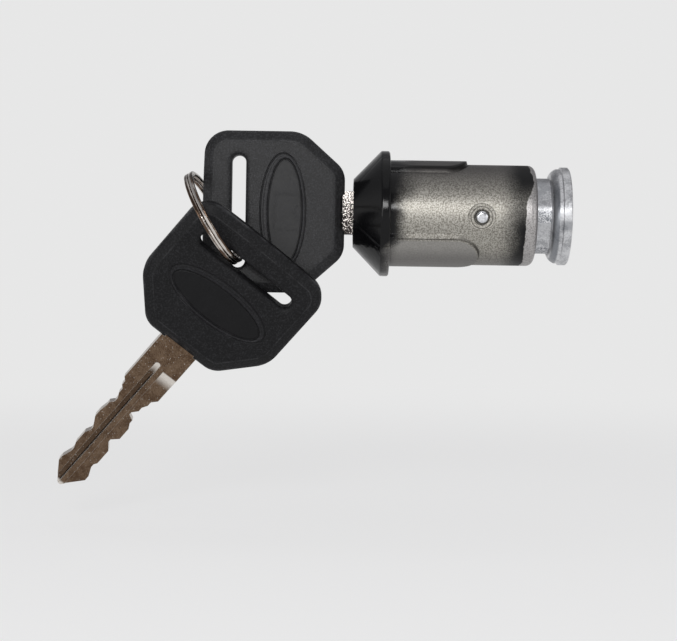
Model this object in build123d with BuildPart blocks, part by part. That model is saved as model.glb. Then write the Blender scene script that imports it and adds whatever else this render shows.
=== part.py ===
from build123d import *
import math
import os

# Ignition lock cylinder with its key in the plug and a spare key on a split ring.
# Millimetres. The lock's axis is X, +X towards the tail, and +Z is up.
# The origin is on that axis, at the back of the bezel, where the lock seats.
# Angles round the axis run from the front (-Y) down towards -Z.

# Bezel and barrel, one casting
bezel_depth = 7.2
bezel_face_r = 6.8
bezel_rim_r = 12.5
bezel_rim_width = 1.7
bezel_rim_round = 0.45
barrel_r = 10.0
barrel_len = 28.8
barrel_end_round = 1.4

# Locating pads along the barrel
pad_proud = 0.7
pad_width = 9.7
pad_slope = 35
long_pad_len = 18.0
long_pad_angle = 55
short_pad_len = 15.8
short_pad_angle = -80
pad_root = 1.2
pad_lead = 1.5

# Retaining pin in the barrel's wall
pin_x = 17.8
pin_angle = 5.6
pin_r = 1.2
pin_proud = 0.8
pin_travel = 0.8
pin_len = 2.5
spring_block = 0.7
spot_r = 2.65
spot_depth = 0.45
pin_lip_r = 1.5
pin_lip_depth = 0.9
spring_wire = 0.22
spring_turns = 2.5

# Plug
fit_gap = 0.04
plug_head_r = 6.2
plug_head_len = 2.0
plug_r = 5.75
plug_recess = 0.2
plug_beyond_clip = 0.6
plug_flat = 4.6
end_gap = 0.1

# Keyway
blade_thick = 2.0
keyway_gap = 0.12
keyway_end_gap = 0.8
mouth_gap = 0.35
mouth_beyond_grooves = 0.4

# Wafers and their springs
wafer_count = 8
wafer_first = 14.5
wafer_pitch = 2.6
wafer_thick = 1.1
wafer_half_w = 3.0
wafer_window_half_w = 1.3
wafer_window_half_h = 3.95
wafer_shear_gap = 0.08
notch_wall = 0.65
notch_low = -2.6
notch_high = 2.9
ledge_low = -1.5
ledge_high = -0.5
wafer_wire = 0.16
wafer_spring_r = 0.36
wafer_spring_turns = 4

# Tail driver and the clip that holds it on the plug
neck_r = 7.5
neck_len = 2.8
neck_flat_width = 5.4
neck_flat_angle = 36
flange_r = 9.75
flange_beyond_plug = 0.6
flange_groove_at = 4.3
flange_groove_width = 0.6
flange_groove_depth = 0.35
drive_slot_width = 3.2
drive_slot_len = 17.4
drive_slot_depth = 1.2
clip_at = 4.9
clip_thick = 0.6
clip_groove_r = 4.9
clip_out_r = 6.9
clip_gap_width = 5.0
clip_recess_r = 7.3

# Turn stop between the driver and the barrel
turn_angle = 105
stop_in_r = 6.5
stop_out_r = 7.35
stop_depth = 1.3
stop_lug_half = 12
stop_lug_angle = 200
stop_gap = 0.12
stop_gap_angle = 2

# Key: its blade, and its head moulded over the blade's tang
key_seat_x = -8.9
blade_len = 39.4
blade_half = 4.3
shoulder_at = 12.0
tip_half = 0.4
tang_len = 14.0
tang_half = 3.6
tang_hole_r = 1.6
groove_start = 5.1
groove_y = 0.8
groove_width = 1.2
groove_depth = 0.45
cutter_r = 12.0
step_start = 6.0
step_edge = -1.0
step_depth = 0.25
ward_gap = 0.1

# Cuts along the blade's two edges: station, half width, flat
left_cuts = [
    (13.2, 3.6, 1.0),
    (14.9, 2.98, 1.2),
    (17.05, 2.46, 0.95),
    (18.8, 3.2, 0.9),
    (21.8, 3.5, 1.6),
    (25.2, 2.3, 0.7),
    (28.3, 2.9, 3.0),
    (31.45, 2.45, 0.9),
    (34.6, 3.15, 1.1),
]
right_cuts = [
    (13.6, 3.3, 1.0),
    (15.7, 2.65, 1.0),
    (17.7, 1.65, 0.6),
    (19.1, 2.9, 0.9),
    (22.1, 3.5, 2.9),
    (25.2, 2.15, 0.7),
    (29.0, 3.4, 3.6),
    (31.9, 2.95, 0.8),
    (34.9, 3.8, 1.2),
]

head_len = 28.3
head_half = 16.1
head_thick = 3.6
head_front_half = 8.4
head_taper_len = 8.6
head_front_round = 4.5
head_side_round = 6.5
head_back_round = 4.8
head_back_bulge = 0.4
bevel_width = 2.0
bevel_height = 1.0
slot_back = 7.15
slot_width = 2.8
slot_len = 22.4
slot_round = 0.85
oval_at = 12.3
oval_half = 4.5
oval_half_len = 11.6
oval_band = 1.1
oval_depth = 0.35
oval_shift = 0.4

# The spare key's place: its slot from the other key's slot, the way its head points, its normal
spare_offset = (1.9923, -5.1677, -11.6516)
spare_along = (0.6403, -0.2571, 0.7238)
spare_normal = (0.0172, -0.9373, -0.3482)

# Split ring, two turns of flat wire
ring_offset = (-4.69, -4.12, -1.64)
ring_axis = (0.8665, -0.1288, 0.4823)
ring_mean_r = 9.6
ring_wire_width = 0.88
ring_wire_height = 1.0
ring_wire_round = 0.28
ring_turn_gap = 0.04
ring_jog_angle = 30
ring_start_angle = 200

# The tail's stations, from the barrel's end
neck_end_x = barrel_len + neck_len
flange_groove_x = barrel_len + flange_groove_at
clip_x = barrel_len + clip_at
plug_end_x = clip_x + clip_thick + plug_beyond_clip
flange_end_x = plug_end_x + flange_beyond_plug

# The pin's bore holds its foot, its travel and the closed spring
pin_bore_depth = pin_len - pin_proud + pin_travel + spring_block

# The two slots' centres, which the ring and the spare key hang by
slot_at = head_len - slot_back
slot_centre = Vector(key_seat_x - slot_at, 0, 0)
ring_centre = slot_centre + Vector(*ring_offset)
spare_slot_centre = slot_centre + Vector(*spare_offset)
spare_origin = spare_slot_centre - Vector(*spare_along).normalized() * slot_at


def out_from_axis(x, angle, radius):
    """A plane square to the axis's radius at this angle, facing outwards."""
    a = math.radians(angle)
    out = Vector(0, -math.cos(a), -math.sin(a))
    return Plane(origin=Vector(x, 0, 0) + out * radius, x_dir=(1, 0, 0), z_dir=out)


def across_axis(x):
    """A plane square to the lock's axis, facing the tail."""
    return Plane(origin=(x, 0, 0), x_dir=(0, 1, 0), z_dir=(1, 0, 0))


def bar_of(length, radius, x):
    """A round bar along the axis from x."""
    with BuildPart() as bar:
        with BuildSketch(across_axis(x)):
            Circle(radius)
        extrude(amount=length)
    return bar.part


def pad_blank(angle, length):
    """A locating pad with a round end and sloped flanks, wrapped on the barrel."""
    base = barrel_r - pad_root
    straight = pad_lead + length - pad_width / 2
    with BuildPart() as blank:
        with BuildSketch(out_from_axis(-pad_lead, angle, base)):
            with Locations((straight / 2, 0)):
                Rectangle(straight, pad_width)
            with Locations((straight, 0)):
                Circle(pad_width / 2)
        extrude(amount=pad_root + pad_proud + 1, taper=pad_slope / 2)
        add(bar_of(pad_lead + length, barrel_r + pad_proud, -pad_lead), mode=Mode.INTERSECT)
    return blank.part


long_pad = pad_blank(long_pad_angle, long_pad_len)
short_pad = pad_blank(short_pad_angle, short_pad_len)

# The stop lug's groove in the barrel's end, from both ends of its swing
stop_low = stop_lug_angle - stop_lug_half - stop_gap_angle
stop_high = stop_lug_angle + stop_lug_half + stop_gap_angle + turn_angle


def ring_sector(r_in, r_out, low, high):
    """Draws, in the open sketch, the area between two radii and two angles."""
    far = 3 * r_out
    corners = [(0, 0)]
    for angle in (low, (low + high) / 2, high):
        corners.append((far * math.cos(math.radians(angle)), far * math.sin(math.radians(angle))))
    Circle(r_out)
    Circle(r_in, mode=Mode.SUBTRACT)
    Polygon(*corners, align=None, mode=Mode.INTERSECT)


with BuildPart() as barrel:
    with BuildSketch(Plane.XY):
        with BuildLine():
            Polyline(
                (-bezel_depth, 0),
                (-bezel_depth, bezel_face_r),
                (-bezel_rim_width, bezel_rim_r),
                (0, bezel_rim_r),
                (0, barrel_r),
                (barrel_len, barrel_r),
                (barrel_len, 0),
                close=True,
            )
        make_face()
    revolve(axis=Axis.X)
    rim_edges = barrel.edges().filter_by(GeomType.CIRCLE).filter_by(lambda e: e.radius > barrel_r + 1)
    fillet(rim_edges, bezel_rim_round)
    back_edge = barrel.edges().filter_by(GeomType.CIRCLE).sort_by(Axis.X)[-1]
    fillet(back_edge, barrel_end_round)
    front_edge = barrel.edges().filter_by(GeomType.CIRCLE).sort_by(Axis.X)[0]
    fillet(front_edge, bezel_rim_round / 2)
    add(long_pad)
    add(short_pad)
    with BuildSketch(across_axis(-bezel_depth)):
        Circle(plug_head_r + fit_gap)
    extrude(amount=plug_head_len, mode=Mode.SUBTRACT)
    with BuildSketch(across_axis(-bezel_depth)):
        Circle(plug_r + fit_gap)
    extrude(amount=bezel_depth + barrel_len, mode=Mode.SUBTRACT)
    with Locations(out_from_axis(pin_x, pin_angle, barrel_r)):
        Cylinder(spot_r, 2 * spot_depth, mode=Mode.SUBTRACT)
        CounterBoreHole(pin_r + fit_gap, pin_lip_r, pin_lip_depth, pin_bore_depth)
    with BuildSketch(across_axis(barrel_len - stop_depth)):
        ring_sector(stop_in_r, stop_out_r, stop_low, stop_high)
    extrude(amount=stop_depth, mode=Mode.SUBTRACT)
barrel.part.label = "barrel"

keyway_half = blade_half + keyway_gap
keyway_thick = blade_thick + 2 * keyway_gap
keyway_end_x = key_seat_x + blade_len + keyway_end_gap


def run_out(depth):
    """How far a round cutter takes to reach this depth from the surface."""
    return math.sqrt(depth * (2 * cutter_r - depth))


grooves_full = max(groove_start + run_out(groove_depth), step_start + run_out(step_depth))
mouth_x = key_seat_x + grooves_full + mouth_beyond_grooves
wafer_places = [key_seat_x + wafer_first + wafer_pitch * n for n in range(wafer_count)]
notch_in = wafer_window_half_w + notch_wall


def side_of(n):
    """Wafers take turns: the springs of even ones stand in front, of odd ones behind."""
    return -1 if n % 2 else 1


with BuildPart() as plug:
    with BuildSketch(Plane.XY):
        with BuildLine():
            Polyline(
                (-bezel_depth + plug_recess, 0),
                (-bezel_depth + plug_recess, plug_head_r),
                (-bezel_depth + plug_head_len - fit_gap, plug_head_r),
                (-bezel_depth + plug_head_len - fit_gap, plug_r),
                (plug_end_x, plug_r),
                (plug_end_x, 0),
                close=True,
            )
        make_face()
    revolve(axis=Axis.X)
    # A groove for the clip, and two flats that turn the driver
    with BuildSketch(across_axis(clip_x - fit_gap)):
        Circle(plug_r + 1)
        Circle(clip_groove_r, mode=Mode.SUBTRACT)
    extrude(amount=clip_thick + 2 * fit_gap, mode=Mode.SUBTRACT)
    for side in (-1, 1):
        with BuildSketch(across_axis(barrel_len + end_gap)):
            with Locations((side * (plug_flat + plug_r / 2), 0)):
                Rectangle(plug_r, 2 * plug_r + 1)
        extrude(amount=plug_end_x, mode=Mode.SUBTRACT)
    # Keyway: an open mouth, then a slot with a ward for each of the blade's grooves
    with BuildSketch(across_axis(-bezel_depth)):
        Rectangle(keyway_thick + mouth_gap, 2 * keyway_half)
    extrude(amount=bezel_depth + mouth_x, mode=Mode.SUBTRACT)
    with BuildSketch(across_axis(mouth_x)):
        Rectangle(keyway_thick, 2 * keyway_half)
        for side in (-1, 1):
            ward = groove_width - 2 * ward_gap
            with Locations((-side * keyway_thick / 2, -side * groove_y)):
                Rectangle(2 * (groove_depth + keyway_gap - ward_gap), ward, mode=Mode.SUBTRACT)
    extrude(amount=keyway_end_x - mouth_x, mode=Mode.SUBTRACT)
    for n, x in enumerate(wafer_places):
        side = side_of(n)
        with BuildSketch(across_axis(x - wafer_thick / 2 - fit_gap)):
            Rectangle(2 * (wafer_half_w + fit_gap), 2 * plug_r + 1)
            # The ledge that the wafer's spring stands on
            with Locations((-side * (notch_in + wafer_half_w + 0.5) / 2, (ledge_low + ledge_high) / 2)):
                Rectangle(
                    wafer_half_w + 0.5 - notch_in - 2 * fit_gap,
                    ledge_high - ledge_low,
                    mode=Mode.SUBTRACT,
                )
        extrude(amount=wafer_thick + 2 * fit_gap, mode=Mode.SUBTRACT)
plug.part.label = "plug"

wafers, wafer_springs = [], []
for n, x in enumerate(wafer_places):
    side = side_of(n)
    start = across_axis(x - wafer_thick / 2)
    with BuildPart() as wafer:
        with BuildSketch(start):
            Circle(plug_r - wafer_shear_gap)
            Rectangle(2 * wafer_half_w, 2 * plug_r + 1, mode=Mode.INTERSECT)
            Rectangle(2 * wafer_window_half_w, 2 * wafer_window_half_h, mode=Mode.SUBTRACT)
            with Locations((-side * (notch_in + plug_r) / 2, (notch_low + notch_high) / 2)):
                Rectangle(plug_r - notch_in, notch_high - notch_low, mode=Mode.SUBTRACT)
        extrude(amount=wafer_thick)
    wafer.part.label = f"wafer_{n + 1}"
    wafers.append(wafer.part)

    spring_y = -side * (notch_in + wafer_half_w) / 2
    low = ledge_high + wafer_wire / 2 + fit_gap
    high = notch_high - wafer_wire / 2 - fit_gap
    with BuildPart() as wafer_spring:
        with BuildLine(Plane(origin=(x, spring_y, low))) as coil:
            Helix((high - low) / wafer_spring_turns, high - low, wafer_spring_r)
        with BuildSketch(Plane(origin=coil.line @ 0, x_dir=(1, 0, 0), z_dir=coil.line % 0)):
            Rectangle(wafer_wire, wafer_wire)
        sweep(path=coil.line, is_frenet=True)
    wafer_spring.part.label = f"wafer_spring_{n + 1}"
    wafer_springs.append(wafer_spring.part)

neck_x = barrel_len + end_gap
flat_depth = neck_r - math.sqrt(neck_r**2 - (neck_flat_width / 2) ** 2)
groove_r = flange_r - flange_groove_depth
clip_seat_x = clip_x - fit_gap
with BuildPart() as tail_driver:
    with BuildSketch(Plane.XY):
        with BuildLine():
            lip = (neck_end_x + 0.2, neck_r + 0.8)
            Polyline((neck_x, 0), (neck_x, neck_r), (neck_end_x, neck_r), lip)
            RadiusArc(lip, (flange_groove_x, groove_r), 2.4)
            Polyline(
                (flange_groove_x, groove_r),
                (flange_groove_x + flange_groove_width, groove_r),
                (flange_groove_x + flange_groove_width + 0.2, flange_r),
                (flange_end_x - 0.25, flange_r),
                (flange_end_x, flange_r - 0.25),
                (flange_end_x, 0),
                (neck_x, 0),
            )
        make_face()
    revolve(axis=Axis.X)
    for angle in (neck_flat_angle, neck_flat_angle + 180):
        with BuildSketch(out_from_axis((neck_x + neck_end_x) / 2, angle, neck_r - flat_depth)):
            Rectangle(neck_end_x - neck_x, neck_flat_width + 1)
        extrude(amount=flat_depth * 2, mode=Mode.SUBTRACT)
    # The socket for the plug's end, and a recess for the clip
    with BuildSketch(across_axis(neck_x)):
        Circle(plug_r + fit_gap)
        Rectangle(2 * (plug_flat + fit_gap), 2 * plug_r + 1, mode=Mode.INTERSECT)
    extrude(amount=flange_end_x - neck_x, mode=Mode.SUBTRACT)
    with BuildSketch(across_axis(flange_end_x)):
        Circle(clip_recess_r)
    extrude(amount=clip_seat_x - flange_end_x, mode=Mode.SUBTRACT)
    with BuildSketch(across_axis(flange_end_x)):
        SlotOverall(drive_slot_len, drive_slot_width, rotation=90)
    extrude(amount=-drive_slot_depth, mode=Mode.SUBTRACT)
    lug_x = barrel_len - stop_depth + stop_gap
    with BuildSketch(across_axis(lug_x)):
        lug_low = stop_lug_angle - stop_lug_half
        ring_sector(stop_in_r + stop_gap, stop_out_r - stop_gap, lug_low, lug_low + 2 * stop_lug_half)
    extrude(amount=neck_x + 0.3 - lug_x)
tail_driver.part.label = "tail_driver"

with BuildPart() as tail_clip:
    with BuildSketch(across_axis(clip_x)):
        Circle(clip_out_r)
        Circle(clip_groove_r + fit_gap, mode=Mode.SUBTRACT)
        with Locations((0, -clip_out_r)):
            Rectangle(clip_gap_width, 2 * clip_out_r, mode=Mode.SUBTRACT)
    extrude(amount=clip_thick)
tail_clip.part.label = "tail_clip"

pin_seat_r = barrel_r - pin_bore_depth
pin_foot_r = barrel_r + pin_proud - pin_len
with BuildPart() as retaining_pin:
    with BuildSketch(out_from_axis(pin_x, pin_angle, pin_foot_r)):
        Circle(pin_r)
    extrude(amount=pin_len)
    fillet(retaining_pin.edges().filter_by(GeomType.CIRCLE).sort_by(Axis.Y)[0], pin_r * 0.45)
retaining_pin.part.label = "retaining_pin"

pin_coil_r = pin_r - spring_wire
coil_low = pin_seat_r + spring_wire / 2
coil_high = pin_foot_r - spring_wire / 2
with BuildPart() as retaining_pin_spring:
    pin_base = out_from_axis(pin_x, pin_angle, coil_low)
    with BuildLine() as coil:
        Helix(
            (coil_high - coil_low) / spring_turns,
            coil_high - coil_low,
            pin_coil_r,
            center=pin_base.origin,
            direction=pin_base.z_dir,
        )
    with BuildSketch(Plane(origin=coil.line @ 0, x_dir=(1, 0, 0), z_dir=coil.line % 0)):
        Rectangle(spring_wire, spring_wire)
    sweep(path=coil.line, is_frenet=True)
retaining_pin_spring.part.label = "retaining_pin_spring"


def edge_of(cuts, side):
    """The blade's edge from its shoulder to its tip: a flat at each cut, slopes between."""
    points = [(0, side * blade_half), (-shoulder_at, side * blade_half)]
    for station, half, flat in cuts:
        points += [(-station + flat / 2, side * half), (-station - flat / 2, side * half)]
    return points + [(-blade_len, side * tip_half)]


# Channels milled along both faces: lower edge, width, station where they start, depth
channels = (
    (groove_y - groove_width / 2, groove_width, groove_start, groove_depth),
    (step_edge - 2 * blade_half, 2 * blade_half, step_start, step_depth),
)


def key_blade_at(place):
    """A blade, its tang towards +X of the place, cut alike from either face."""
    with BuildPart() as blade:
        with BuildSketch(place):
            with BuildLine():
                outline = edge_of(left_cuts, 1) + edge_of(right_cuts, -1)[::-1]
                Polyline(*outline, close=True)
            make_face()
        extrude(amount=blade_thick / 2, both=True)
        with BuildSketch(place):
            with Locations((tang_len / 2, 0)):
                Rectangle(tang_len, 2 * tang_half)
            with Locations((tang_len * 0.6, 0)):
                Circle(tang_hole_r, mode=Mode.SUBTRACT)
        extrude(amount=blade_thick / 2, both=True)
        back = Plane(origin=place.origin, x_dir=place.x_dir, z_dir=-place.z_dir)
        top = -blade_thick / 2
        past_tip = -blade_len - 1
        for face in (place, back):
            for low, width, start, depth in channels:
                side = Plane(origin=face.origin + face.y_dir * low, x_dir=face.x_dir, z_dir=face.y_dir)
                floor = top + depth
                full = -start - run_out(depth)
                half_turn = math.acos(1 - depth / cutter_r) / 2
                rise = cutter_r * (1 - math.cos(half_turn))
                with BuildSketch(side):
                    with BuildLine():
                        middle = (full + cutter_r * math.sin(half_turn), floor - rise)
                        ThreePointArc((-start, top), middle, (full, floor))
                        Polyline((full, floor), (past_tip, floor), (past_tip, top - 1), (-start, top - 1))
                        Line((-start, top - 1), (-start, top))
                    make_face()
                extrude(amount=width, mode=Mode.SUBTRACT)
    return blade.part


def key_head_at(place, blade):
    """A head moulded round a blade's tang, bevelled all round, with a slot and oval fields."""
    back = Plane(origin=place.origin, x_dir=place.x_dir, z_dir=-place.z_dir)
    with BuildPart() as head:
        with BuildSketch(place) as outline:
            with BuildLine():
                shoulder_x = head_len - head_back_bulge
                ThreePointArc((shoulder_x, head_half), (head_len, 0), (shoulder_x, -head_half))
                Polyline(
                    (shoulder_x, -head_half),
                    (head_taper_len, -head_half),
                    (0, -head_front_half),
                    (0, head_front_half),
                    (head_taper_len, head_half),
                    (shoulder_x, head_half),
                )
            make_face()
            for corner_x, radius in (
                (0, head_front_round),
                (head_taper_len, head_side_round),
                (shoulder_x, head_back_round),
            ):
                fillet(outline.vertices().filter_by(lambda v: abs(v.X - corner_x) < 0.01), radius)
        extrude(amount=head_thick / 2, both=True)
        for face_plane in (place, back):
            up = Axis(place.origin, face_plane.z_dir)
            face = head.faces().sort_by(up)[-1]
            chamfer(face.edges(), bevel_width, bevel_height, reference=face)
        with BuildSketch(place):
            with Locations((slot_at, 0)):
                SlotOverall(slot_len, slot_width, rotation=90)
        extrude(amount=head_thick, both=True, mode=Mode.SUBTRACT)
        for face_plane in (place, back):
            up = Axis(place.origin, face_plane.z_dir)
            face = head.faces().filter_by(GeomType.PLANE).sort_by(up)[-1]
            fillet(face.inner_wires()[0].edges(), slot_round)
        for face_plane in (place, back):
            with BuildSketch(face_plane.offset(head_thick / 2)):
                with Locations((oval_at, 0)):
                    Ellipse(oval_half, oval_half_len)
            with BuildSketch(face_plane.offset(head_thick / 2 - oval_depth)):
                with Locations((oval_at - oval_shift, 0)):
                    Ellipse(oval_half - oval_band, oval_half_len - oval_band)
            loft(mode=Mode.SUBTRACT)
        add(blade, mode=Mode.SUBTRACT)
    return head.part


inserted = Plane(origin=(key_seat_x, 0, 0), x_dir=(-1, 0, 0), z_dir=(0, -1, 0))
spare = Plane(origin=spare_origin, x_dir=spare_along, z_dir=spare_normal)
key_blade = key_blade_at(inserted)
key_blade.label = "key_blade"
key_head = key_head_at(inserted, key_blade)
key_head.label = "key_head"
spare_key_blade = key_blade_at(spare)
spare_key_blade.label = "spare_key_blade"
spare_key_head = key_head_at(spare, spare_key_blade)
spare_key_head.label = "spare_key_head"

ring_plane = Plane(origin=ring_centre, x_dir=Vector(ring_axis).cross(Vector(0, 0, 1)), z_dir=ring_axis)
turn_side = (ring_wire_width + ring_turn_gap) / 2
turn_sweep = 360 - ring_jog_angle
jog_start = ring_start_angle + turn_sweep


def ring_point(angle, height):
    a = math.radians(angle)
    return (ring_mean_r * math.cos(a), ring_mean_r * math.sin(a), height)


def ring_tangent(angle):
    a = math.radians(angle)
    return (-math.sin(a), math.cos(a), 0)


with BuildPart() as split_ring:
    # Each turn is turned about the ring's axis; the jog between them is swept
    for side, start in ((1, ring_start_angle), (-1, jog_start + ring_jog_angle)):
        a = math.radians(start)
        out = ring_plane.x_dir * math.cos(a) + ring_plane.y_dir * math.sin(a)
        middle = ring_plane.origin + ring_plane.z_dir * (side * turn_side) + out * ring_mean_r
        with BuildSketch(Plane(origin=middle, x_dir=ring_plane.z_dir, z_dir=out.cross(ring_plane.z_dir))):
            RectangleRounded(ring_wire_width, ring_wire_height, ring_wire_round)
        revolve(axis=Axis(ring_plane.origin, ring_plane.z_dir), revolution_arc=turn_sweep)
    with BuildLine(ring_plane) as jog:
        Spline(
            ring_point(jog_start, turn_side),
            ring_point(jog_start + ring_jog_angle / 2, 0),
            ring_point(jog_start + ring_jog_angle, -turn_side),
            tangents=(ring_tangent(jog_start), ring_tangent(jog_start + ring_jog_angle)),
        )
    with BuildSketch(Plane(origin=jog.wire() @ 0, x_dir=ring_axis, z_dir=jog.wire() % 0)):
        RectangleRounded(ring_wire_width, ring_wire_height, ring_wire_round)
    sweep(path=jog.wire())
split_ring.part.label = "split_ring"

os.makedirs("parts", exist_ok=True)
pieces = [
    barrel.part,
    plug.part,
    *wafers,
    *wafer_springs,
    tail_driver.part,
    tail_clip.part,
    retaining_pin.part,
    retaining_pin_spring.part,
    key_blade,
    key_head,
    spare_key_blade,
    spare_key_head,
    split_ring.part,
]
for piece in pieces:
    export_step(piece, f"parts/{piece.label}.step")
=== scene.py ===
import math
import bmesh
import bpy
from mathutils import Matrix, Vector


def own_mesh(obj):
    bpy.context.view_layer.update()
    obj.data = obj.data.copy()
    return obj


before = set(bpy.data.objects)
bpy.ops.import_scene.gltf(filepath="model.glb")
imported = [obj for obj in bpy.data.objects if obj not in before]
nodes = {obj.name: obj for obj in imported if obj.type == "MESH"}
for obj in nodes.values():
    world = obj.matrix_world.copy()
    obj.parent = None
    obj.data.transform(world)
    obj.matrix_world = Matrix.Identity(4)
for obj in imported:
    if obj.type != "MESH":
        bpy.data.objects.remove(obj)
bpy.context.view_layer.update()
print("frame loaded:", len(nodes), "nodes")

mm = 0.001


# Materials are built on one sheet of nodes each, and maths on them is written as expressions
class Wire:
    def __init__(self, sheet, socket):
        self.sheet = sheet
        self.socket = socket

    def maths(self, operation, *others):
        values = dict(enumerate((self, *others)))
        return self.sheet.add("ShaderNodeMath", {"operation": operation}, values)

    def __add__(self, other):
        return self.maths("ADD", other)

    def __sub__(self, other):
        return self.maths("SUBTRACT", other)

    def __rsub__(self, other):
        return self.sheet.add("ShaderNodeMath", {"operation": "SUBTRACT"}, {0: other, 1: self})

    def __mul__(self, other):
        return self.maths("MULTIPLY", other)

    def __truediv__(self, other):
        return self.maths("DIVIDE", other)

    def __pow__(self, other):
        return self.maths("POWER", other)

    def __neg__(self):
        return self * -1.0

    def least(self, other):
        return self.maths("MINIMUM", other)

    def most(self, other):
        return self.maths("MAXIMUM", other)

    def size(self):
        return self.maths("ABSOLUTE")

    # A smooth ramp that is first up to low and last from high on
    def between(self, low, high, first=0.0, last=1.0):
        settings = {"interpolation_type": "SMOOTHSTEP"}
        values = {"Value": self, "From Min": low, "From Max": high, "To Min": first, "To Max": last}
        return self.sheet.add("ShaderNodeMapRange", settings, values)

    def falls(self, low, high):
        return self.between(low, high, 1.0, 0.0)

    # A line where this wire passes zero
    def line(self, half):
        return self.size().falls(0.0, half)


class Sheet:
    def __init__(self, owner):
        owner.use_nodes = True
        self.owner = owner
        self.tree = owner.node_tree
        self.shader = self.tree.nodes.get("Principled BSDF")

    def add(self, kind, settings=None, values=None, out=0):
        node = self.tree.nodes.new(kind)
        for key, setting in (settings or {}).items():
            setattr(node, key, setting)
        for key, value in (values or {}).items():
            self.put(node.inputs[key], value)
        return Wire(self, node.outputs[out])

    def put(self, socket, value):
        if isinstance(value, Wire):
            self.tree.links.new(value.socket, socket)
        elif isinstance(value, tuple) and len(value) == 3 and socket.type == "RGBA":
            socket.default_value = (*value, 1)
        else:
            socket.default_value = value

    def mix(self, factor, first, second):
        settings = {"data_type": "RGBA"}
        return self.add("ShaderNodeMix", settings, {0: factor, 6: first, 7: second}, 2)

    def vector(self, operation, *values):
        out = "Value" if operation in ("DOT_PRODUCT", "LENGTH") else "Vector"
        settings = {"operation": operation}
        return self.add("ShaderNodeVectorMath", settings, dict(enumerate(values)), out)

    # The spot on the piece, in millimetres
    def place(self):
        spot = self.add("ShaderNodeTexCoord", out="Object")
        return self.add("ShaderNodeVectorMath", {"operation": "SCALE"}, {0: spot, 3: 1 / mm})

    def stretched(self, spot, scale, turn=(0, 0, 0)):
        values = {"Vector": spot, "Rotation": turn, "Scale": scale}
        return self.add("ShaderNodeMapping", {}, values)

    def others(self, wire, *names):
        return [Wire(self, wire.socket.node.outputs[name]) for name in names]

    def axes(self, spot, *names):
        split = self.add("ShaderNodeSeparateXYZ", {}, {0: spot})
        return self.others(split, *(names or "XYZ"))

    def grain(self, spot, scale, detail=2.0, rough=0.5):
        values = {"Vector": spot, "Scale": scale, "Detail": detail, "Roughness": rough}
        return self.add("ShaderNodeTexNoise", {}, values)

    # A bump on this height, with edges rounded off over the radius where one is given
    def bumped(self, height, strength, deep, radius=None):
        values = {"Height": height, "Strength": strength, "Distance": deep * mm}
        if radius:
            values["Normal"] = self.add("ShaderNodeBevel", {"samples": 6}, {"Radius": radius * mm})
        return self.add("ShaderNodeBump", {}, values)

    # Where an edge is near, for wear and for painted highlights along edges
    def nearEdge(self, radius, low=0.02, high=0.16):
        soft = self.add("ShaderNodeBevel", {"samples": 8}, {"Radius": radius * mm})
        hard = self.add("ShaderNodeNewGeometry", out="True Normal")
        return (1 - self.vector("DOT_PRODUCT", soft, hard)).between(low, high)

    # Where the camera, a gloss or glass sees this surface, against where it only gives light
    def seen(self, *kinds):
        kinds = kinds or ("Is Camera Ray", "Is Glossy Ray", "Is Transmission Ray")
        first, *more = self.others(self.add("ShaderNodeLightPath"), *kinds)
        for kind in more:
            first = first.most(kind)
        return first

    def surface(self, wire):
        output = next(node for node in self.tree.nodes if node.type.startswith("OUTPUT"))
        self.put(output.inputs["Surface"], wire)

    def finish(self, **values):
        for key, value in values.items():
            self.put(self.shader.inputs[key.replace("_", " ")], value)
        return self.owner


def newSheet(name):
    return Sheet(bpy.data.materials.new(name))


def dress(material, *names):
    for name in names:
        for slot in nodes[name].material_slots:
            slot.material = material


# Camera, level with the lock's side, turned a little as the photograph is
camera = {
    "place": (-9.76 * mm, -335 * mm, -21.5 * mm),
    "pitch": 90,
    "turn": -0.9,
    "lens": 89.07,
    "sensor": 36,
    "nearest": 0.01,
}
lensData = bpy.data.cameras.new("camera")
lensData.lens = camera["lens"]
lensData.sensor_width = camera["sensor"]
lensData.clip_start = camera["nearest"]
eye = bpy.data.objects.new("camera", lensData)
eye.location = camera["place"]
eye.rotation_euler = (math.radians(camera["pitch"]), math.radians(camera["turn"]), 0)
bpy.context.collection.objects.link(eye)
bpy.context.scene.camera = eye
bpy.context.scene.view_settings.view_transform = "Standard"
print("camera set")

# Studio: soft lamps, a pale floor that runs into a pale backdrop, and above and behind the
# camera a darker room that shows in reflections only
studio = {
    "lamps": [
        # name, place, what it points at, size, watts
        ("front", (-0.06, -0.62, 0.14), (0, 0, 0), 0.18, 1.6),
        ("high", (0.05, -0.10, 0.62), (-0.01, 0, 0), 0.95, 0.95),
        ("low", (-0.32, -0.40, -0.02), (-0.03, 0, -0.02), 0.20, 0.4),
        ("tail", (0.40, -0.26, 0.05), (0.02, 0, 0), 0.25, 0.3),
    ],
    "around": (0.27, 0.27, 0.28),
    "backdrop": (0.80, 0.80, 0.80),
    "room": (0.30, 0.30, 0.31),
    "roomFrom": (0.12, 0.55),
    "floorColour": (0.80, 0.80, 0.80),
    "floorRough": 0.9,
    # Clear of the spare key's tip when that key is swung down
    "floorHeight": -0.064,
    "floorSize": 6.0,
    # The floor fades into the backdrop with distance, and sooner to the sides and the front,
    # where the lamps would make it brighter
    "floorFade": (0.10, 0.75),
    "underLamp": (0.12, 0.30),
    "floorGlow": 0.60,
    "nearFloor": (0.99, 0.99, 0.99),
}
for name, place, target, size, watts in studio["lamps"]:
    lamp = bpy.data.lights.new(name, "AREA")
    lamp.shape = "DISK"
    lamp.size = size
    lamp.energy = watts
    stand = bpy.data.objects.new(name, lamp)
    stand.location = place
    stand.rotation_euler = (Vector(target) - Vector(place)).to_track_quat("-Z", "Y").to_euler()
    bpy.context.collection.objects.link(stand)

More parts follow.
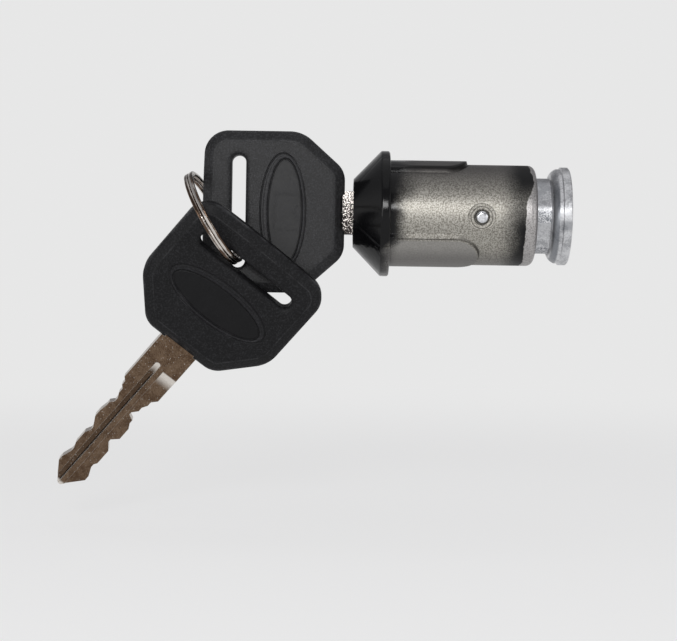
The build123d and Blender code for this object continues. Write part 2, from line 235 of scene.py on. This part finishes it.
sky = Sheet(bpy.data.worlds.new("surroundings"))
bpy.context.scene.world = sky.owner
towards, rise = sky.axes(sky.add("ShaderNodeTexCoord", out="Generated"), "Y", "Z")
room = (-towards).most(rise).between(*studio["roomFrom"]) * (1 - sky.seen("Is Camera Ray"))
backdrop = sky.mix(room, studio["backdrop"], studio["room"])
light = sky.add("ShaderNodeBackground", {}, {"Color": studio["around"]})
scenery = sky.add("ShaderNodeBackground", {}, {"Color": backdrop})
sky.surface(sky.add("ShaderNodeMixShader", {}, {0: sky.seen(), 1: light, 2: scenery}))

floorMesh = bmesh.new()
bmesh.ops.create_grid(floorMesh, x_segments=1, y_segments=1, size=studio["floorSize"] / 2)
bmesh.ops.translate(floorMesh, verts=floorMesh.verts, vec=(0, 0, studio["floorHeight"]))
floorData = bpy.data.meshes.new("floor")
floorMesh.to_mesh(floorData)
floorMesh.free()
floor = bpy.data.objects.new("floor", floorData)
bpy.context.collection.objects.link(floor)
floorSheet = newSheet("floor")
floorSheet.finish(Base_Color=studio["floorColour"], Roughness=studio["floorRough"])
matte = Wire(floorSheet, floorSheet.shader.outputs[0])
away = floorSheet.add("ShaderNodeTexCoord", out="Object")
floorX, floorY = floorSheet.axes(away, "X", "Y")
underLamps = (-floorY).most(floorX.size()).between(*studio["underLamp"])
far = floorSheet.vector("LENGTH", away).between(*studio["floorFade"]).most(underLamps)
glow = floorSheet.mix(far, studio["nearFloor"], studio["backdrop"])
sweep = floorSheet.add("ShaderNodeEmission", {}, {"Color": glow})
fade = (far * (1 - studio["floorGlow"]) + studio["floorGlow"]) * floorSheet.seen()
floorSheet.surface(floorSheet.add("ShaderNodeMixShader", {}, {0: fade, 1: matte, 2: sweep}))
floorData.materials.append(floorSheet.owner)
print("studio lit")

# In the values of materials, a ramp says from where, to where, and what it is at each end. A
# noise says its grains per millimetre, its detail and its roughness. Places are in millimetres.

# Barrel: grey zinc casting, with the bezel's gloss black paint thinning out along it
casting = {
    "zinc": (0.44, 0.425, 0.385),
    "zincDark": (0.19, 0.178, 0.155),
    "zincTones": (0.36, 0.62),
    "endZinc": (0.46, 0.445, 0.44),
    "endDark": (0.27, 0.26, 0.255),
    "endTones": (0.38, 0.56),
    "padTone": (0.29, 0.283, 0.272),
    "padToned": 0.75,
    "paint": (0.0035, 0.0035, 0.004),
    "fine": (3.4, 2, 0.7),
    "speck": (4.2, 2, 0.6),
    "cloud": (0.28, 3, 0.55),
    "patch": (0.33, 2),
    "flow": (1.5, 2),
    "flowStretch": (0.18, 1.0, 1.0),
    # how much less of the fine grain and how much more of the flow marks a pad has
    "padFine": 0.7,
    "padFlow": 1.6,
    "flowHeight": 0.3,
    "zincRough": 0.46,
    "endRough": 0.42,
    "roughGrain": 0.12,
    "metallic": 0.92,
    "specular": 0.20,
    "gloss": (2.0, 6.0, 0.13, 0.5),
    "bump": {"strength": 0.55, "deep": 0.05, "radius": 0.25},
    "spraying": {
        "front": (0.4, 4.2),
        "frontThins": (0.5, 5.0, 1.0, 0.58),
        "frontLifts": (-8.0, -5.0, 2.6, 0.0),
        "frontPatch": 1.8,
        "rear": (20.6, 25.9),
        "rearPatch": 2.0,
        "waistAt": 1.5,
        "waist": (0.0, 5.0, 0.72, 1.0),
        "specks": 3.6,
    },
    # The bare band at the barrel's end starts here, further back at the top
    "endBand": {
        "start": 26.25,
        "lean": (0.5, 6.5, 0.0, 1.75),
        "leanBack": (6.0, 10.0, 0.0, 0.45),
        "waver": 1.4,
        "soft": 0.10,
    },
    # Painted shade: the barrel darker towards its top and its bottom
    "topBottomShade": {
        "tone": (0.075, 0.071, 0.072),
        "top": (2.0, 8.6, 0.0, 0.80),
        "bottom": (-9.5, -6.5, 0.5, 0.0),
        "offBand": 0.8,
    },
    # Painted shade: dark lines at the pads' feet and round the pin's recess and hole, and painted
    # shade on the upper pad's wall
    "padsAndShade": {
        "tone": (0.045, 0.042, 0.038),
        "strength": 0.75,
        # angle round the barrel, and the pad's end
        "pads": ((55, 18.0), (-80, 15.8)),
        "padHalf": 4.47,
        "padRound": 4.85,
        "padTop": (-0.55, -0.25),
        "padSide": (0.0, 3.0, 20.0, 0.0),
        "foot": {"at": 0.02, "half": 0.28, "deep": 0.8},
        "wall": {"at": 0.25, "fade": (0.35, 0.8), "tone": (0.014, 0.013, 0.013), "strength": 0.97},
        "pin": {"along": 17.8, "low": 1.054},
        "recess": {"radius": 2.12, "half": 0.22},
        "hole": {"radius": 1.42, "half": 0.30},
        "pinSide": (-1.0, 1.0, 0.0, 50.0),
    },
}


# How far a spot lies outside a locating pad's foot, in millimetres
def padGap(x, y, z, angle, length):
    padsAndShade = casting["padsAndShade"]
    c, s = math.cos(math.radians(angle)), math.sin(math.radians(angle))
    across = y * s - z * c
    above = y * -c - z * s
    past = (x - (length - padsAndShade["padRound"])).most(0.0)
    reach = (past ** 2.0 + across * across) ** 0.5
    return reach - padsAndShade["padHalf"] + above.between(*padsAndShade["padSide"])


def castingMaterial():
    spraying, endBand = casting["spraying"], casting["endBand"]
    topBottomShade, padsAndShade = casting["topBottomShade"], casting["padsAndShade"]
    sheet = newSheet("castingMaterial")
    spot = sheet.place()
    x, y, z = sheet.axes(spot)
    fine, speck, cloud, patch = [
        sheet.grain(spot, *casting[noise]) for noise in ("fine", "speck", "cloud", "patch")
    ]

    lower, upper = [padGap(x, y, z, *pad) for pad in padsAndShade["pads"]]
    gap = lower.least(upper)
    onPad = gap.falls(*padsAndShade["padTop"])
    foot = (gap + padsAndShade["foot"]["at"]).line(padsAndShade["foot"]["half"])
    # Painted shade: the upper pad's wall made dark
    wall = (upper + padsAndShade["wall"]["at"]).size().falls(*padsAndShade["wall"]["fade"])
    pin, recess, hole = padsAndShade["pin"], padsAndShade["recess"], padsAndShade["hole"]
    fromPin = ((x - pin["along"]) ** 2.0 + (z + pin["low"]) ** 2.0) ** 0.5
    fromPin = fromPin + y.between(*padsAndShade["pinSide"])
    # Painted shade in the creases: dark lines round the pin's recess and its hole, and at the pads'
    # feet
    lines = (fromPin - recess["radius"]).line(recess["half"])
    lines = lines.most((fromPin - hole["radius"]).line(hole["half"])).most(foot)

    edge = z.between(*endBand["lean"]) - z.between(*endBand["leanBack"]) + endBand["start"]
    edge = edge + (cloud - 0.5) * endBand["waver"]
    band = (x - edge).between(-endBand["soft"], endBand["soft"])

    reach = x * z.between(*spraying["frontThins"]) + z.between(*spraying["frontLifts"])
    front = (reach + (patch - 0.5) * spraying["frontPatch"]).falls(*spraying["front"])
    waist = (z - spraying["waistAt"]).size().between(*spraying["waist"])
    rear = (x + (patch - 0.5) * spraying["rearPatch"]).between(*spraying["rear"])
    spray = front.most(rear * waist * (1 - band))
    specks = (speck - 0.5) * spraying["specks"] * spray * (1 - spray)
    paint = (spray + specks).most(0.0).least(1.0)

    zinc = sheet.mix(fine.between(*casting["zincTones"]), casting["zincDark"], casting["zinc"])
    zinc = sheet.mix(onPad * casting["padToned"], zinc, casting["padTone"])
    end = sheet.mix(fine.between(*casting["endTones"]), casting["endDark"], casting["endZinc"])
    # Painted shade: darker towards the top and the bottom of the barrel, less on the bare end band
    shadedTopBottom = z.between(*topBottomShade["top"]).most(z.between(*topBottomShade["bottom"]))
    shadedTopBottom = shadedTopBottom * (1 - band * topBottomShade["offBand"])
    metal = sheet.mix(shadedTopBottom, sheet.mix(band, zinc, end), topBottomShade["tone"])
    # Painted shade laid over the metal: the dark lines, then the upper pad's wall
    metal = sheet.mix(lines * padsAndShade["strength"], metal, padsAndShade["tone"])
    metal = sheet.mix(wall * padsAndShade["wall"]["strength"], metal, padsAndShade["wall"]["tone"])

    flow = sheet.grain(sheet.stretched(spot, casting["flowStretch"]), *casting["flow"])
    height = fine * (1 - paint) * (1 - onPad * casting["padFine"])
    height = height + flow * (onPad * casting["padFlow"] + casting["flowHeight"])
    height = height - foot * padsAndShade["foot"]["deep"]
    rough = band.between(0.0, 1.0, casting["zincRough"], casting["endRough"])
    rough = rough + (fine - 0.5) * casting["roughGrain"]
    return sheet.finish(
        Base_Color=sheet.mix(paint, metal, casting["paint"]),
        Roughness=rough * (1 - paint) + x.between(*casting["gloss"]) * paint,
        Metallic=(1 - paint) * casting["metallic"],
        Specular_IOR_Level=casting["specular"],
        Normal=sheet.bumped(height, **casting["bump"]),
    )


dress(castingMaterial(), "barrel")
print("barrel dressed")

# Plug and tail: bare zinc
bare = {
    "plug": {
        "light": (0.50, 0.49, 0.46),
        "dark": (0.36, 0.35, 0.33),
        "rough": 0.42,
        "bump": 0.3,
    },
    "tail": {
        "light": (0.66, 0.665, 0.68),
        "dark": (0.35, 0.355, 0.37),
        "rough": 0.32,
        "bump": 0.25,
    },
    "fine": (2.8, 3, 0.6),
    "cloud": (0.45, 2),
    "clouded": 0.5,
    "tones": (0.36, 0.58),
    "roughGrain": 0.15,
    "metallic": 0.9,
    "bumpDeep": 0.04,
    "softEdge": 0.15,
    # On the tail's neck: painted shade above, painted shade in the middle and two rough cast bands
    # with dark grit. On its
    # flange: painted shade along the flare's foot and a painted dark reflection on the face behind
    # it.
    "stainsAndShade": {
        "tone": (0.13, 0.14, 0.16),
        "neck": (28.8, 31.7),
        "neckSoft": 0.1,
        "above": (1.0, 4.5, 0.0, 0.55),
        "aboveTones": (0.35, 0.6),
        "middle": (-6.6, -1.9),
        "middleEnd": (-1.8, -1.6, 0.35, 0.0),
        # centre and half height of each rough band
        "bands": ((-0.6, 1.3), (-7.4, 1.0)),
        "bandFade": (-0.2, 0.1),
        "grit": (3.6, 1),
        "gritTones": (0.46, 0.56),
        "gritStrength": 0.8,
        "gritRough": 0.18,
        "flare": (31.9, 33.15),
        "flareStart": (-0.15, 0.15),
        "flareEnd": (-0.25, 0.15),
        "flareStrength": (4.0, 8.0, 0.78, 0.1),
        "patchStart": (0.0, 0.2),
        "patchLow": 2.4,
        "patch": (0.5, 1.3, 0.5, 0.0),
        "patchSide": (-4.0, -2.0),
    },
}


# Dark grit in the cast bands, and painted shade and a painted reflection on the tail
def stainedAndShaded(sheet, spot, tone, cloud):
    stainsAndShade = bare["stainsAndShade"]
    x, y, z = sheet.axes(spot)
    stainAndShadeTone, soft = stainsAndShade["tone"], stainsAndShade["neckSoft"]
    start, end = stainsAndShade["neck"]
    onNeck = (x - start).between(-soft, soft) * (x - end).falls(-soft, soft)
    # Painted shade, blotchy, on the top of the neck
    above = onNeck * z.between(*stainsAndShade["above"]) * cloud.between(*stainsAndShade["aboveTones"])
    tone = sheet.mix(above, tone, stainAndShadeTone)
    # Painted shade: the neck's middle band darker
    middle = onNeck * z.between(*stainsAndShade["middle"]) * z.between(*stainsAndShade["middleEnd"])
    tone = sheet.mix(middle, tone, bare["tail"]["dark"])
    first, second = [
        ((z - centre).size() - half).falls(*stainsAndShade["bandFade"]) for centre, half in stainsAndShade["bands"]
    ]
    cast = first.most(second) * onNeck
    grit = sheet.grain(spot, *stainsAndShade["grit"]).between(*stainsAndShade["gritTones"])
    tone = sheet.mix(cast * grit * stainsAndShade["gritStrength"], tone, stainAndShadeTone)
    near, beyond = stainsAndShade["flare"]
    # Painted shade along the foot of the flange's flare, fading towards the top
    flare = (x - near).between(*stainsAndShade["flareStart"]) * (x - beyond).falls(*stainsAndShade["flareEnd"])
    tone = sheet.mix(flare * z.between(*stainsAndShade["flareStrength"]), tone, stainAndShadeTone)
    # Painted reflection: a dark patch on the flange's face behind the flare, on the front side
    patch = (z + stainsAndShade["patchLow"]).size().between(*stainsAndShade["patch"])
    patch = (x - beyond).between(*stainsAndShade["patchStart"]) * patch * y.falls(*stainsAndShade["patchSide"])
    return sheet.mix(patch, tone, stainAndShadeTone), cast


def zincMaterial(name, zinc, isTail=False):
    sheet = newSheet(name)
    spot = sheet.place()
    fine = sheet.grain(spot, *bare["fine"])
    cloud = sheet.grain(spot, *bare["cloud"])
    shade = fine * (1 - bare["clouded"]) + cloud * bare["clouded"]
    tone = sheet.mix(shade.between(*bare["tones"]), zinc["dark"], zinc["light"])
    rough = (fine - 0.5) * bare["roughGrain"] + zinc["rough"]
    if isTail:
        tone, cast = stainedAndShaded(sheet, spot, tone, cloud)
        rough = rough + cast * bare["stainsAndShade"]["gritRough"]
    return sheet.finish(
        Base_Color=tone,
        Roughness=rough,
        Metallic=bare["metallic"],
        Normal=sheet.bumped(fine, zinc["bump"], bare["bumpDeep"], bare["softEdge"]),
    )


dress(zincMaterial("plugZinc", bare["plug"]), "plug")
dress(zincMaterial("tailZinc", bare["tail"], isTail=True), "tail_driver")
print("plug and tail dressed")

# Small steel and brass parts, and the split ring
small = {
    "steel": {"colour": (0.55, 0.55, 0.56), "rough": 0.35, "marks": (1.5, 4, 0.6)},
    "brass": {"colour": (0.72, 0.52, 0.24), "rough": 0.38, "marks": (1.5, 4, 0.6)},
    "pin": {"colour": (0.78, 0.79, 0.82), "rough": 0.22, "marks": (2.5, 4, 0.6)},
    "tones": (0.35, 0.62),
    "shade": 0.72,
    "roughMarks": 0.2,
    "bump": {"strength": 0.1, "deep": 0.02},
}
ring = {
    "nickel": (0.66, 0.62, 0.58),
    "dark": (0.10, 0.065, 0.045),
    "centre": (-34.74, -4.12, -1.64),
    "axis": (0.8665, -0.1288, 0.4823),
    "lines": (4.5, 2, 0.6),
    "cloud": (0.30, 2),
    "clouded": 0.55,
    "tones": (0.44, 0.56),
    "rough": 0.16,
    "roughLines": 0.2,
    "bump": {"strength": 0.2, "deep": 0.05},
}


def wornMetal(name, metal):
    sheet = newSheet(name)
    marks = sheet.grain(sheet.place(), *metal["marks"])
    dark = tuple(small["shade"] * c for c in metal["colour"])
    return sheet.finish(
        Base_Color=sheet.mix(marks.between(*small["tones"]), dark, metal["colour"]),
        Roughness=(marks - 0.5) * small["roughMarks"] + metal["rough"],
        Metallic=1.0,
        Normal=sheet.bumped(marks, **small["bump"]),
    )


# The drawn lines run round the ring, so they depend on radius and height alone; their dark and
# bright stripes are partly painted reflections and painted shade between the turns
def ringMaterial():
    sheet = newSheet("ringNickel")
    spot = sheet.place()
    moved = sheet.vector("SUBTRACT", spot, ring["centre"])
    rise = sheet.vector("DOT_PRODUCT", moved, ring["axis"])
    radius = (sheet.vector("LENGTH", moved) ** 2.0 - rise * rise) ** 0.5
    track = sheet.add("ShaderNodeCombineXYZ", {}, {0: radius, 1: rise})
    lines = sheet.grain(track, *ring["lines"])
    cloud = sheet.grain(spot, *ring["cloud"])
    # Painted reflections, partly: the stripes and clouds make some stretches of the wire dark and
    # others bright
    tone = (lines + (cloud - 0.5) * ring["clouded"]).between(*ring["tones"])
    return sheet.finish(
        Base_Color=sheet.mix(tone, ring["dark"], ring["nickel"]),
        Roughness=(lines - 0.5) * ring["roughLines"] + ring["rough"],
        Metallic=1.0,
        Normal=sheet.bumped(lines, **ring["bump"]),
    )


springNames = [name for name in nodes if name.startswith("wafer_spring_")]
waferNames = [name for name in nodes if name.startswith("wafer_") and name not in springNames]
steel = wornMetal("springSteel", small["steel"])
dress(steel, "retaining_pin_spring", "tail_clip", *springNames)
dress(wornMetal("waferBrass", small["brass"]), *waferNames)
dress(wornMetal("pinSteel", small["pin"]), "retaining_pin")
dress(ringMaterial(), "split_ring")
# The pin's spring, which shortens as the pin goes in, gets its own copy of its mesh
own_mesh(nodes["retaining_pin_spring"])
print("small metal parts dressed")

# Where each key lies: where its blade leaves its head, the way its head points, its face, and
# how much painted shade darkens the face and how strong the painted highlights, partly wear, on its
# edges are
keys = {
    "inserted": {
        "origin": (-8.9, 0, 0),
        "along": (-1, 0, 0),
        "normal": (0, -1, 0),
        "shade": 0.90,
        "edge": 0.22,
    },
    "spare": {
        "origin": (-41.6, 0.27, -26.96),
        "along": (0.6403, -0.2571, 0.7238),
        "normal": (0.0172, -0.9373, -0.3482),
        "shade": 0.50,
        "edge": 0.45,
    },
}


# How far a spot lies along the key, across it and out of its face, in millimetres
def localAxes(sheet, spot, key):
    along = Vector(key["along"]).normalized()
    normal = Vector(key["normal"]).normalized()
    side = normal.cross(along)
    moved = sheet.vector("SUBTRACT", spot, key["origin"])
    return [sheet.vector("DOT_PRODUCT", moved, tuple(axis)) for axis in (along, side, normal)]


# Blades: brown-toned nickel plate, its faces darkened as painted shade, with painted highlights
# where the groove and the step run out and at the tip, and bright on the cut edges
blade = {
    # The faces' dark brown is partly painted shade, standing for the dark reflections the plate
    # shows
    "nickel": (0.186, 0.127, 0.084),
    "nickelDark": (0.088, 0.053, 0.032),
    "tones": (0.40, 0.60),
    "marks": (0.5, 3, 0.6),
    "fine": (5.0, 2, 0.6),
    "drawn": (6.0, 2),
    "drawnStretch": (1.0, 1.0, 0.12),
    "drawnTurn": (0, 0.85, 0),
    # how much of the tone comes from the marks, the fine grain and the drawn lines
    "shares": (0.4, 0.35, 0.25),
    "relief": 0.4,
    # Painted highlight where the groove and the step run out and at the tip
    "milled": (0.76, 0.715, 0.66),
    "milledGrain": 0.6,
    "milledLeast": 0.7,
    "tip": (38.4, 39.1),
    # across the blade's middle plane, the drawn groove and step change sides
    "face": (-0.01, 0.01, -1.0, 1.0),
    "border": 0.05,
    # The groove: painted shade inside it, and a painted highlight where it runs out
    "groove": {
        "side": 0.8,
        "half": 0.6,
        "start": 5.1,
        "fade": (0.0, 0.3),
        "round": 1.4,
        "end": (0.0, 0.15),
        "bright": (0.4, 2.9),
        "shade": 0.6,
        "strength": 0.6,
    },
    # Painted shade: a black line along the groove's wall
    "wall": {
        "in": 0.12,
        "half": 0.14,
        "from": (1.5, 4.0),
        "tone": (0.004, 0.003, 0.003),
        "strength": 0.9,
    },
    "step": {"side": -1.0, "start": 6.0, "fade": (0.1, 0.4), "bright": (0.8, 3.4)},
    "cutEdge": (0.56, 0.52, 0.48),
    "cutFrom": (0.80, 0.55),
    "wearRadius": 0.14,
    "wearPatches": 0.8,
    "wearLeast": 0.4,
    "worn": 0.9,
    "sparks": (3.4, 1),
    "sparkTones": (0.68, 0.74),
    "sparkStrength": 0.7,
    "rough": 0.32,
    "roughGrain": 0.2,
    "metallic": 0.95,
    "bump": {"strength": 0.25, "deep": 0.03, "radius": 0.12},
    # The speckled part of the inserted blade, between head and bezel, darker towards its lower edge
    "stub": {
        "light": (0.38, 0.355, 0.335),
        "dark": (0.009, 0.0075, 0.007),
        "end": (3.2, 3.8),
        "specks": (4.2, 1),
        "tones": (0.525, 0.60),
        "lean": -0.022,
    },
}


def bladeMaterial(name, key, speckled=False):
    sheet = newSheet(name)
    spot = sheet.place()
    along, side, out = localAxes(sheet, spot, key)
    station = -along
    across = side * out.between(*blade["face"])
    facing = sheet.add("ShaderNodeTexCoord", out="Normal")
    normal = tuple(Vector(key["normal"]).normalized())
    cut = sheet.vector("DOT_PRODUCT", facing, normal).size().between(*blade["cutFrom"])

    groove, step, wall, border = blade["groove"], blade["step"], blade["wall"], blade["border"]
    offGroove = across - groove["side"]
    intoGroove = station - groove["start"]
    intoStep = station - step["start"]
    inGroove = (offGroove.size() - groove["half"]).falls(-border, border)
    inGroove = inGroove * intoGroove.between(*groove["fade"])
    onWall = (offGroove + groove["half"] - wall["in"]).size() - wall["half"]
    onWall = onWall.falls(-border, border) * intoGroove.between(*wall["from"])
    rounded = intoGroove - offGroove ** 2.0 * groove["round"]
    grooveEnd = inGroove * rounded.between(*groove["end"]) * rounded.falls(*groove["bright"])
    inStep = (across - step["side"]).falls(-border, border) * intoStep.between(*step["fade"])
    stepEnd = inStep * intoStep.falls(*step["bright"])
    tip = station.between(*blade["tip"])

    marks = sheet.grain(spot, *blade["marks"])
    fine = sheet.grain(spot, *blade["fine"])
    scratch = sheet.stretched(spot, blade["drawnStretch"], blade["drawnTurn"])
    drawn = sheet.grain(scratch, *blade["drawn"])
    marksShare, fineShare, drawnShare = blade["shares"]
    mixed = marks * marksShare + fine * fineShare + drawn * drawnShare
    # Painted shade, partly: the faces take the dark brown tones
    tone = sheet.mix(mixed.between(*blade["tones"]), blade["nickelDark"], blade["nickel"])
    # Painted shade: the groove darker, and a black line along its wall
    grooveShadeTone = tuple(groove["shade"] * c for c in blade["nickelDark"])
    tone = sheet.mix(inGroove * groove["strength"], tone, grooveShadeTone)
    tone = sheet.mix(onWall * wall["strength"], tone, wall["tone"])
    # Painted highlights where the groove and the step run out and at the tip
    bright = grooveEnd.most(stepEnd).most(tip)
    bright = (bright * (fine * blade["milledGrain"] + blade["milledLeast"])).least(1.0)
    tone = sheet.mix(bright, tone, blade["milled"])
    spark = sheet.grain(spot, *blade["sparks"]).between(*blade["sparkTones"])
    worn = marks * blade["wearPatches"] + blade["wearLeast"]
    worn = sheet.nearEdge(blade["wearRadius"]) * worn
    worn = worn.most(spark * blade["sparkStrength"]).least(1.0)
    colour = sheet.mix(cut.most(worn * blade["worn"]), tone, blade["cutEdge"])
    if speckled:
        stub = blade["stub"]
        blast = sheet.grain(spot, *stub["specks"]) + side * stub["lean"]
        stubTone = sheet.mix(blast.between(*stub["tones"]), stub["dark"], stub["light"])
        colour = sheet.mix(station.falls(*stub["end"]), colour, stubTone)
    return sheet.finish(
        Base_Color=colour,
        Roughness=(fine - 0.5) * blade["roughGrain"] + blade["rough"],
        Metallic=blade["metallic"],
        Normal=sheet.bumped((fine + drawn) * blade["relief"], **blade["bump"]),
    )


# Heads: fine-grained black plastic, smooth inside the oval, with lines along the oval's band:
# painted shade in its grooves and painted highlights on its ridges
head = {
    "plastic": (0.034, 0.034, 0.037),
    "plasticDark": (0.004, 0.004, 0.0045),
    # Light grey of the painted highlights, partly wear, along the edges
    "edge": (0.11, 0.11, 0.115),
    # where its centre lies along the key, half its width and half its length
    "ovalOut": (12.3, 4.5, 11.6),
    "ovalIn": (11.9, 3.4, 10.5),
    "ovalLine": 0.24,
    "ridgeAt": 0.42,
    "ridgeLine": 0.34,
    "smoothFrom": (-0.2, 0.1),
    "smoothness": 0.85,
    "fine": (2.9, 2, 0.7),
    "fineTones": (0.44, 0.70),
    "cloud": (0.25, 2),
    "edgeClouds": (0.38, 0.62),
    "wearAndHighlight": {"radius": 0.5, "low": 0.004, "high": 0.03},
    "nearEdge": {"radius": 1.0, "low": 0.003, "high": 0.06},
    # how much each adds to the tone, and to the height
    "tone": {"fine": 0.95, "wearAndHighlight": 0.45, "cloud": 0.24, "ridges": 0.45, "grooves": 0.95},
    "height": {"ridges": 0.8, "grooves": 2.0},
    "rough": 0.48,
    "roughGrain": 0.25,
    "roughEdge": 0.15,
    "specular": 0.32,
    "bump": {"strength": 0.8, "deep": 0.10, "radius": 1.1},
}


# How far outside an ellipse a spot lies, in millimetres
def ellipseGap(along, side, shape):
    centre, halfAlong, halfSide = shape
    a = (along - centre) / halfAlong
    b = side / halfSide
    slope = ((a / halfAlong) ** 2.0 + (b / halfSide) ** 2.0) ** 0.5
    return (a * a + b * b - 1.0) / (slope * 2.0)


def headMaterial(name, key):
    sheet = newSheet(name)
    spot = sheet.place()
    along, side, _ = localAxes(sheet, spot, key)
    outer = ellipseGap(along, side, head["ovalOut"])
    inner = ellipseGap(along, side, head["ovalIn"])
    smooth = inner.falls(*head["smoothFrom"])
    rest = 1 - smooth * head["smoothness"]
    # Painted shade in the oval's grooves and painted highlights on its ridges
    grooves = outer.size().least(inner.size()).falls(0.0, head["ovalLine"])
    outerRidge, innerRidge = (outer + head["ridgeAt"]).size(), (inner - head["ridgeAt"]).size()
    ridges = outerRidge.least(innerRidge).falls(0.0, head["ridgeLine"])
    fine = sheet.grain(spot, *head["fine"])
    cloud = sheet.grain(spot, *head["cloud"])

    adds = head["tone"]
    speckle = fine.between(*head["fineTones"]) * adds["fine"]
    # Lighter near every edge: painted highlight, partly wear
    speckle = (speckle + sheet.nearEdge(**head["wearAndHighlight"]) * adds["wearAndHighlight"]) * rest
    tone = speckle + cloud * adds["cloud"] + ridges * adds["ridges"]
    # Painted shade: the oval's grooves darker, and the whole face darker by the key's shade
    tone = tone * (1 - grooves * adds["grooves"]) * key["shade"]
    colour = sheet.mix(tone.least(1.0), head["plasticDark"], head["plastic"])
    # Painted highlights, partly wear, along the head's edges, stronger on the spare key
    edge = sheet.nearEdge(**head["nearEdge"]) * cloud.between(*head["edgeClouds"]) * (1 - smooth)
    colour = sheet.mix(edge * key["edge"], colour, head["edge"])
    height = fine * rest - grooves * head["height"]["grooves"] + ridges * head["height"]["ridges"]
    rough = (fine - 0.5) * head["roughGrain"] - edge * head["roughEdge"] + head["rough"]
    return sheet.finish(
        Base_Color=colour,
        Roughness=rough,
        Specular_IOR_Level=head["specular"] * key["shade"],
        Normal=sheet.bumped(height, **head["bump"]),
    )


dress(bladeMaterial("bladeNickel", keys["inserted"], speckled=True), "key_blade")
dress(bladeMaterial("spareBladeNickel", keys["spare"]), "spare_key_blade")
dress(headMaterial("headPlastic", keys["inserted"]), "key_head")
dress(headMaterial("spareHeadPlastic", keys["spare"]), "spare_key_head")
print("keys dressed")
